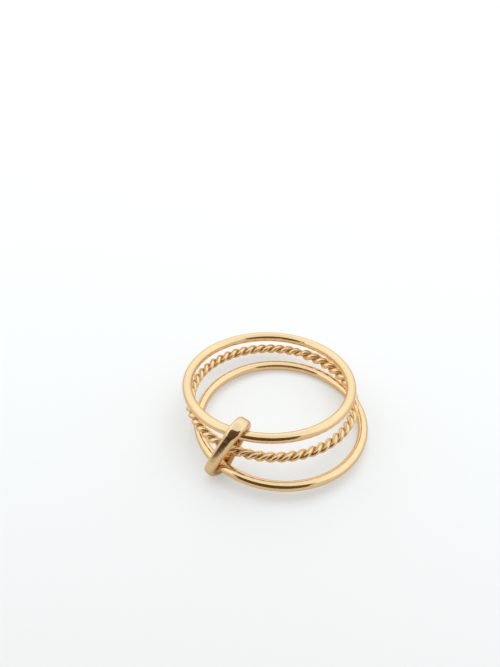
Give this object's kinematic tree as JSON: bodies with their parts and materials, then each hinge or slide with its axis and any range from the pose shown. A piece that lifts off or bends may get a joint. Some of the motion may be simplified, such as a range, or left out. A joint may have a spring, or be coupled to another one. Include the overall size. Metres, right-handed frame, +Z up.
{
  "type": "stackable ring",
  "caption": "Linked stacking ring: two plain round bands and a twisted rope band in polished gold, threaded through a small oval connector link and lying fanned open.",
  "frame": {"origin": "bottom centre of the whole ring as it lies fanned open on a surface", "axes": "+Z up from the surface, -Y towards the side where the link stands, +X to the right seen from there"},
  "size_m": [0.0208, 0.0224, 0.0072],
  "materials": {
    "plain_band_gold": "high polish, fine hairline scratches",
    "rope_band_gold": "polished strands, darker in the grooves",
    "link_gold": "high polish, edges worn round"
  },
  "bodies": {
    "base": {"band_lower": "plain_band_gold", "connector_link": "link_gold"},
    "twisted": {"band_twisted": "rope_band_gold"},
    "upper": {"band_upper": "plain_band_gold"}
  },
  "joints": [
    {"name": "upper_swing", "type": "hinge", "parent": "base", "child": "upper", "pos_m": [-0.0042, -0.00689, 0.00543], "axis": [0.9236, -0.3788, 0.0593], "range_deg": [0, 120]},
    {"name": "twisted_swing", "type": "hinge", "parent": "base", "child": "twisted", "pos_m": [-0.00501, -0.00731, 0.00365], "axis": [0.8605, -0.5069, 0.0506], "range_deg": [0, 60]}
  ],
  "couplings": [
    {"joint": "twisted_swing", "follows": "upper_swing", "ratio": 0.5}
  ]
}
